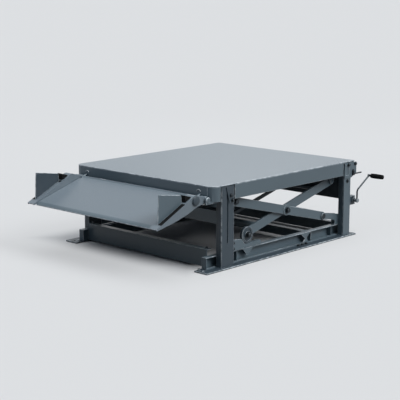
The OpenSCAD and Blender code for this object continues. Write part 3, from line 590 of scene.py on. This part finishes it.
class LEVELER_OT_deck(bpy.types.Operator):
    """Paint the deck, its skirts and what carries it"""

    bl_idname = "leveler.deck"
    bl_label = "Deck"

    def execute(self, context):
        sizes = context.scene.leveler_sizes
        dress_body("deck", sizes.edge, own=["deck_plate", "upper_arm_pins", "lip_hinge_pin"])
        # The deck plate takes the lighter deck paint: painted light on its upward top
        dress("deck_plate", "deck_powder_coat", sizes.edge, sizes.deck_edge)
        dress("upper_arm_pins", "slate_powder_coat", sizes.edge)
        dress("lip_hinge_pin", "slate_powder_coat", sizes.edge)
        return {"FINISHED"}


class LEVELER_OT_lip(bpy.types.Operator):
    """Paint the lip, its arms and cheeks, and set its buffers"""

    bl_idname = "leveler.lip"
    bl_label = "Lip"

    def execute(self, context):
        sizes = context.scene.leveler_sizes
        arms, cheeks = both_sides("lip_arm"), both_sides("cheek")
        plate = dress("lip_plate", "deck_powder_coat", sizes.edge)
        # The lip plate's steeper front band gets the darker slate paint: painted shade, as it turns away from the
        # light above
        refinish(plate, "slate_powder_coat", lambda centre, normal: 0.5 < normal.z < 0.88)
        cheek_front, cheek_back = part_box("right_cheek")
        boss_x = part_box("right_lip_arm")[1].x
        for node, side in zip(arms, (1, -1)):
            arm = dress(node, "deck_powder_coat", sizes.edge)
            # The strap's top beside the cheek is cut out and given black rubber: a painted shadow where the cheek
            # shades the strap
            split(arm, Vector((side * cheek_back.x, 0, 0)), OUT)
            split(arm, cheek_front, REAR)
            split(arm, cheek_back, REAR)
            refinish(arm, "moulded_rubber", lambda centre, normal: (
                normal.z > 0.6 and abs(centre.x) > cheek_back.x
                and cheek_front.y < centre.y < cheek_back.y))
            profile = [(0, sizes.cap), (side * sizes.cap_depth * 0.6, sizes.cap),
                       (side * sizes.cap_depth, sizes.cap * 0.9)]
            centre = Vector((side * boss_x, ARM_BOSS_Y * MM, ARM_BOSS_Z * MM))
            mesh = lathe_along_x(node + "_cap", profile, centre)
            piece(node + "_cap", mesh, "lip", "dark_paint", finish("dark_powder_coat"))
        for node, side in zip(cheeks, (1, -1)):
            cheek = dress(node, "slate_powder_coat", sizes.edge)
            # The cheeks' inner faces get the dark paint: painted shade on faces that stand in shade
            refinish(cheek, "dark_powder_coat", lambda centre, normal: normal.x * side < -0.9)
        dress("lip_buffers", "moulded_rubber", sizes.edge / 2)
        return {"FINISHED"}


class LEVELER_OT_scissor(bpy.types.Operator):
    """Paint the scissor arms, their cross tubes, wheels and rollers"""

    bl_idname = "leveler.scissor"
    bl_label = "Scissor"

    def execute(self, context):
        edge = context.scene.leveler_sizes.edge
        pinned = both_sides("outer_arm")
        for body in ["outer_arms", "inner_arms"] + both_sides("roller"):
            dress_body(body, edge, own=pinned)
        for node in pinned:
            arm = dress(node, "slate_powder_coat", edge)
            slim_pin(arm, JOINT_AT["arm_cross"], context.scene.leveler_sizes.middle_pin, PIN_ROOM * MM)
        for wheel in both_sides("wheel"):
            dress_body(wheel, edge / 3)
        return {"FINISHED"}


class LEVELER_OT_crank(bpy.types.Operator):
    """Finish the crank's rod and make its moulded grip"""

    bl_idname = "leveler.crank"
    bl_label = "Crank"

    def execute(self, context):
        rod = dress("crank_handle", "turned_steel", context.scene.leveler_sizes.edge)
        axis = JOINT_AT["crank_turn"]
        refinish(rod, "blackened_steel", lambda centre, normal: (
            (centre - axis).yz.length > BRIGHT_HUB * MM))
        low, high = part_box("crank_grip")
        length, radius = high.x - low.x, (high.z - low.z) / 2
        ends = [(0.0, 0.50), (0.0, 0.62), (0.01, 0.80), (0.03, 0.92)]
        waist = [(0.08, 0.95), (0.25, 0.99), (0.45, 1.0), (0.65, 0.97), (0.82, 0.93)]
        tip = [(0.92, 0.93), (0.96, 0.86), (0.985, 0.70), (1.0, 0.45)]
        profile = [(share * length, part * radius) for share, part in ends + waist + tip]
        centre = Vector((low.x, (low.y + high.y) / 2, (low.z + high.z) / 2))
        mesh = lathe_along_x("crank_grip_moulded", profile, centre)
        grip = piece("crank_grip_moulded", mesh, "crank", SLOT_OF["crank_grip"], finish("moulded_rubber"))
        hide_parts("crank_grip")
        return {"FINISHED"}


class LEVELER_OT_bolts(bpy.types.Operator):
    """Set the bolts, and the nuts on the scissor's pivots"""

    bl_idname = "leveler.bolts"
    bl_label = "Bolts and nuts"

    def execute(self, context):
        sizes = context.scene.leveler_sizes
        tree = hex_bolt_tree()
        wheel, roller = JOINT_AT["right_wheel_turn"], JOINT_AT["right_roller_turn"]
        centre = JOINT_AT["arm_cross"]
        outer_arm, inner_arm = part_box("right_outer_arm")[1].x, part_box("right_inner_arm")[1].x
        groups = [
            ("base_bolts", base_bolts(), sizes.bolt_flats, "base"),
            ("outer_arm_nuts", [
                (Vector((outer_arm, centre.y, centre.z)), OUT),
                (Vector((outer_arm - PIVOT_BOSS * MM, roller.y, roller.z)), OUT),
            ], sizes.nut_flats, "outer_arms"),
            ("wheel_nuts", [(Vector((inner_arm, wheel.y, wheel.z)), OUT)], sizes.nut_flats, "inner_arms"),
            ("strap_bolts", strap_bolts(), sizes.bolt_flats * 0.75, "lip"),
        ]
        for name, bolts, flats, body in groups:
            places = point_mesh(name, mirrored(bolts))
            grow(name, tree, places, {"Flats": flats}, "blackened_steel", body, "bare_steel")
        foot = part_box("right_sole_plate")
        anchors = [(Vector((foot[0].x + 22 * MM, foot[0].y + 45 * MM, foot[1].z)), UP)]
        places = point_mesh("anchor_bolts", mirrored(anchors))
        grow("anchor_bolts", tree, places, {"Flats": sizes.bolt_flats}, "turned_steel", "base", "bare_steel")
        return {"FINISHED"}


def rectangle(low, high, height):
    """A closed line round a box's foot."""
    corners = [(low.x, low.y), (high.x, low.y), (high.x, high.y), (low.x, high.y), (low.x, low.y)]
    return [Vector((x, y, height)) for x, y in corners]


def ring(centre, radius, points=32):
    """A closed line round the X axis through centre."""
    turns = [2 * math.pi * i / points for i in range(points + 1)]
    return [centre + Vector((0, radius * math.cos(a), radius * math.sin(a))) for a in turns]


def base_seams():
    """Weld lines of the base: round the posts' feet, along the rails and at the ends of the beams."""
    lines = []
    for side in both_sides(""):
        for post in ("front_post", "rear_post"):
            low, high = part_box(side + post)
            lines.append(rectangle(low, high, low.z))
        low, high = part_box(side + "base_rail")
        for x in (low.x, high.x):
            lines.append([Vector((x, low.y, low.z)), Vector((x, high.y, low.z))])
    for beam in ("front_cross_beam", "middle_cross_beam", "rear_cross_beam"):
        low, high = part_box(beam)
        for x in (low.x, high.x):
            around = [(low.y, low.z), (low.y, high.z), (high.y, high.z)]
            lines.append([Vector((x, y, z)) for y, z in around])
    for beam in ("front_portal_beam", "rear_portal_beam"):
        low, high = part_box(beam)
        for x in (low.x, high.x):
            around = [(low.y, low.z), (high.y, low.z), (high.y, high.z), (low.y, high.z), (low.y, low.z)]
            lines.append([Vector((x, y, z)) for y, z in around])
    return lines


def eye_lines(width, sink):
    """The bent rods of the eyes on the front skirt: half rounds that stand a little off it."""
    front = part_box("deck_plate")[0].y
    turns = [math.pi * i / 16 for i in range(17)]
    lines = []
    for side in (-1, 1):
        centre = Vector((side * EYE_X * MM, front - sink, EYE_Z * MM))
        lines.append([centre + Vector((math.cos(a), 0, 0.7 * math.sin(a))) * width / 2 for a in turns])
    return lines


def tube_seams(tube):
    """Weld rings at a cross tube's two ends."""
    low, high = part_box(tube)
    centre = (low + high) / 2
    radius = (high.z - low.z) / 2
    return [ring(Vector((x, centre.y, centre.z)), radius) for x in (low.x, high.x)]


class LEVELER_OT_welds(bpy.types.Operator):
    """Lay the weld seams and set the eyes on the front skirt"""

    bl_idname = "leveler.welds"
    bl_label = "Weld seams and eyes"

    def execute(self, context):
        sizes = context.scene.leveler_sizes
        tree = bead_tree()
        groups = [("base_weld_seams", base_seams(), "base"),
                  ("outer_arm_weld_seams", tube_seams("outer_cross_tube"), "outer_arms"),
                  ("inner_arm_weld_seams", tube_seams("inner_cross_tube"), "inner_arms")]
        for name, lines, body in groups:
            grow(name, tree, line_mesh(name, lines), {"Radius": sizes.weld, "Ripple": 0.3},
                 "slate_powder_coat", body, "slate_paint")
        eyes = line_mesh("skirt_eyes", eye_lines(sizes.eye_width, sizes.eye_rod / 2))
        grow("skirt_eyes", tree, eyes, {"Radius": sizes.eye_rod, "Ripple": 0.0},
             "turned_steel", "deck", "bare_steel")
        return {"FINISHED"}


class LEVELER_OT_stage(bpy.types.Operator):
    """Set the floor, the light, the background and the camera"""

    bl_idname = "leveler.stage"
    bl_label = "Stage"

    def execute(self, context):
        make_floor(context.scene.leveler_stage)
        make_light(context.scene.leveler_stage)
        make_background(context.scene.leveler_stage)
        make_camera()
        context.scene.view_settings.view_transform = "Standard"
        return {"FINISHED"}


def seen_directly(tree):
    """One for rays that show the stage, also in gloss and through glass, and zero for light that spreads."""
    path = add(tree, "ShaderNodeLightPath").outputs
    shown = add(tree, "ShaderNodeMath", {0: path["Is Camera Ray"], 1: path["Is Glossy Ray"]},
                operation="MAXIMUM")
    either = add(tree, "ShaderNodeMath", {0: shown.outputs[0], 1: path["Is Transmission Ray"]},
                 operation="MAXIMUM")
    return either.outputs[0]


def make_floor(stage):
    """A wide plain floor. It throws little light back under the deck, and the soft shadow round the base is
    eased with some light of its own, which fades out below the deck."""
    reach = 400
    # How much light the floor throws back, and in metres how far to the left the shadow lies
    # and where, past the soles, its easing starts and ends
    bounce, shadow_left, eased_from, eased_to = 0.08, 0.25, -0.16, 0.22
    corners = [(-reach, -reach, 0), (reach, -reach, 0), (reach, reach, 0), (-reach, reach, 0)]
    mesh = bpy.data.meshes.new("floor")
    mesh.from_pydata(corners, [], [(0, 1, 2, 3)])
    floor = bpy.data.objects.new("floor", mesh)
    bpy.context.scene.collection.objects.link(floor)
    floor.location.z = -0.5 * MM
    material, tree, shader = new_material("pale_floor")
    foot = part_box("right_sole_plate")[1]
    place = add(tree, "ShaderNodeTexCoord").outputs["Object"]
    shifted = add(tree, "ShaderNodeVectorMath", {0: place, 1: (shadow_left, 0, 0)})
    aside = add(tree, "ShaderNodeVectorMath", {0: shifted.outputs[0]}, operation="ABSOLUTE")
    past = add(tree, "ShaderNodeVectorMath", {0: aside.outputs[0], 1: (foot.x, foot.y, 0)},
               operation="SUBTRACT")
    axes = add(tree, "ShaderNodeSeparateXYZ", {0: past.outputs[0]})
    away = add(tree, "ShaderNodeMath", {0: axes.outputs["X"], 1: axes.outputs["Y"]}, operation="MAXIMUM")
    clear = add(tree, "ShaderNodeMapRange", {
        "Value": away.outputs[0], "From Min": eased_from, "From Max": eased_to},
        interpolation_type="SMOOTHSTEP")
    shown = seen_directly(tree)
    look = add(tree, "ShaderNodeMix", {0: shown, 6: rgba([bounce] * 3), 7: rgba(stage.floor)},
               data_type="RGBA")
    eased = add(tree, "ShaderNodeMath", {0: clear.outputs["Result"], 1: shown}, operation="MULTIPLY")
    share = add(tree, "ShaderNodeMath", {0: eased.outputs[0], 1: stage.ease}, operation="MULTIPLY")
    glow = add(tree, "ShaderNodeEmission", {"Color": rgba(stage.background)})
    mix = add(tree, "ShaderNodeMixShader", {0: share.outputs[0], 1: shader.outputs[0], 2: glow.outputs[0]})
    tree.links.new(look.outputs[2], shader.inputs["Base Color"])
    tree.links.new(mix.outputs[0], tree.nodes["Material Output"].inputs["Surface"])
    shader.inputs["Roughness"].default_value = 0.9
    shader.inputs["Specular IOR Level"].default_value = 0.0
    mesh.materials.append(material)


def add_sun(name, strength, spread, towards, colour=(1, 1, 1)):
    """A soft lamp without distance, shining along a direction."""
    lamp = bpy.data.lights.new(name, "SUN")
    lamp.energy = strength
    lamp.color = colour
    lamp.angle = math.radians(spread)
    light = bpy.data.objects.new(name, lamp)
    light.rotation_euler = Vector(towards).to_track_quat("-Z", "Y").to_euler()
    bpy.context.scene.collection.objects.link(light)


def add_softbox(name, power, width, height, place, aim):
    """A soft panel that shows in gloss only as a glow, never itself."""
    lamp = bpy.data.lights.new(name, "AREA")
    lamp.energy = power
    lamp.shape = "RECTANGLE"
    lamp.size, lamp.size_y = width, height
    light = bpy.data.objects.new(name, lamp)
    light.location = place
    light.rotation_euler = (Vector(aim) - Vector(place)).to_track_quat("-Z", "Y").to_euler()
    light.visible_camera = False
    bpy.context.scene.collection.objects.link(light)


def make_light(stage):
    """Soft light from above, the right and weakly the front, and a glow on the deck from behind."""
    add_softbox("rear_softbox", stage.rear, 3.2, 2.4, (-4.7, 6.4, 5.2), (0, 0, CAD_BOX[1].z))
    add_sun("overhead", stage.overhead, 62, (-0.06, -0.16, -1))
    add_sun("side", stage.side, 30, (-1, -0.26, -0.85))
    add_sun("front", stage.front, 30, (0.1, 1, -0.8), stage.skylight)


def make_background(stage):
    """A pale background all round, with weak even light of its own."""
    world = bpy.data.worlds.new("studio")
    world.use_nodes = True
    tree = world.node_tree
    tree.nodes.clear()
    shown = add(tree, "ShaderNodeBackground", {"Color": rgba(stage.background), "Strength": 1.0})
    spread = add(tree, "ShaderNodeBackground", {"Color": rgba(stage.skylight), "Strength": stage.fill})
    mix = add(tree, "ShaderNodeMixShader", {
        0: seen_directly(tree), 1: spread.outputs[0], 2: shown.outputs[0]})
    add(tree, "ShaderNodeOutputWorld", {"Surface": mix.outputs[0]})
    bpy.context.scene.world = world


def make_camera():
    """The photograph's view: a long lens from the right front, a little above the deck."""
    lens, azimuth, elevation = 98.6, 43.29, 11.03
    camera = bpy.data.cameras.new("camera")
    camera.lens = lens
    camera.sensor_width = 36
    camera.clip_end = 2000
    viewer = bpy.data.objects.new("camera", camera)
    viewer.location = (7.076, -7.696, 2.415)
    turn, tilt = math.radians(azimuth), math.radians(elevation)
    look = Vector((-math.sin(turn) * math.cos(tilt), math.cos(turn) * math.cos(tilt), -math.sin(tilt)))
    viewer.rotation_euler = look.to_track_quat("-Z", "Y").to_euler()
    bpy.context.scene.collection.objects.link(viewer)
    bpy.context.scene.camera = viewer


class LEVELER_PT_panel(bpy.types.Panel):
    """Shows the leveler's operators and settings"""

    bl_idname = "LEVELER_PT_panel"
    bl_label = "Dock leveler"
    bl_space_type = "VIEW_3D"
    bl_region_type = "UI"
    bl_category = "Leveler"

    def draw(self, context):
        for operator in OPERATORS:
            self.layout.operator(operator.bl_idname)
        for group in [getattr(context.scene, name) for name in GROUPS]:
            for name in group.bl_rna.properties.keys():
                if name not in ("rna_type", "name"):
                    self.layout.prop(group, name)


OPERATORS = [LEVELER_OT_base_frame, LEVELER_OT_deck, LEVELER_OT_lip, LEVELER_OT_scissor, LEVELER_OT_crank,
             LEVELER_OT_bolts, LEVELER_OT_welds, LEVELER_OT_stage]
GROUPS = {"leveler_finish": LevelerFinish, "leveler_sizes": LevelerSizes, "leveler_stage": LevelerStage}


def register():
    for kind in [*GROUPS.values(), *OPERATORS, LEVELER_PT_panel]:
        bpy.utils.register_class(kind)
    for name, kind in GROUPS.items():
        setattr(bpy.types.Scene, name, bpy.props.PointerProperty(type=kind))


def unregister():
    for name in GROUPS:
        delattr(bpy.types.Scene, name)
    for kind in reversed([*GROUPS.values(), *OPERATORS, LEVELER_PT_panel]):
        bpy.utils.unregister_class(kind)


def main():
    register()
    bpy.ops.leveler.base_frame()
    bpy.ops.leveler.deck()
    bpy.ops.leveler.lip()
    bpy.ops.leveler.scissor()
    bpy.ops.leveler.crank()
    bpy.ops.leveler.bolts()
    bpy.ops.leveler.welds()
    bpy.ops.leveler.stage()


if __name__ == "__main__":
    main()
